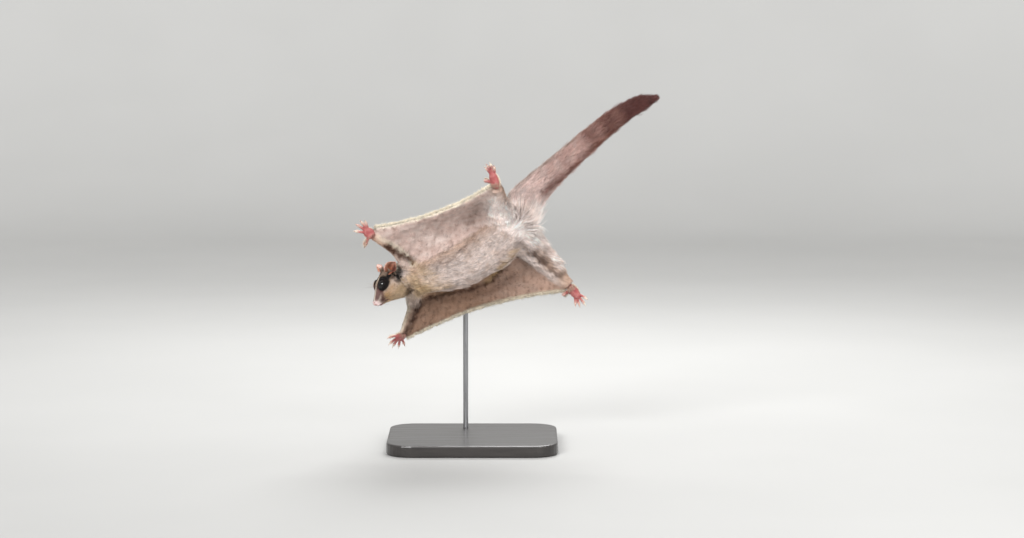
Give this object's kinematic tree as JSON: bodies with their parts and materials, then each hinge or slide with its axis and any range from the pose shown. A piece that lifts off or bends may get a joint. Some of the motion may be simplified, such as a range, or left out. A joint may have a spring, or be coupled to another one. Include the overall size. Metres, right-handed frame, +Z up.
{
  "type": "sugar glider",
  "caption": "Life-size still sugar glider gliding with its membranes spread, cream belly to the front, held by a bent rod on a flat stand.",
  "frame": {"origin": "middle of the underside of the stand's base", "axes": "+Z up; the nose points towards -X and down, the belly faces -Y and down, the tail rises towards +X"},
  "size_m": [0.3032, 0.1866, 0.3589],
  "materials": {
    "fur_back": "short soft grey-brown fur",
    "fur_belly": "soft cream belly fur",
    "fur_membrane": "thin short taupe fur on a skin fold",
    "fur_tail": "dense pinkish taupe fur",
    "fur_tail_tip": "dense dark brown fur",
    "skin_pink": "bare moist pink skin",
    "skin_ear": "thin bare ear skin",
    "nose_pink": "moist pink nose skin",
    "eye_black": "wet glossy black eye",
    "stand_lacquer": "satin black lacquer",
    "stand_steel": "brushed steel rod"
  },
  "bodies": {
    "root": {"head": "fur_back", "nose": "nose_pink", "ear_left": "skin_ear", "ear_right": "skin_ear", "eye_left": "eye_black", "eye_right": "eye_black", "neck": "fur_back", "torso": "fur_belly", "upper_arm_left": "fur_membrane", "upper_arm_right": "fur_membrane", "forearm_left": "fur_membrane", "forearm_right": "fur_membrane", "hand_left": "skin_pink", "hand_right": "skin_pink", "thigh_left": "fur_membrane", "thigh_right": "fur_membrane", "shank_left": "fur_membrane", "shank_right": "fur_membrane", "foot_left": "skin_pink", "foot_right": "skin_pink", "membrane_left": "fur_membrane", "membrane_right": "fur_membrane", "tail_1": "fur_tail", "tail_2": "fur_tail", "tail_3": "fur_tail", "tail_4": "fur_tail_tip", "stand_base": "stand_lacquer", "stand_post": "stand_steel", "stand_knuckle": "stand_steel", "stand_arm": "stand_steel", "stand_saddle": "stand_lacquer"}
  },
  "joints": []
}
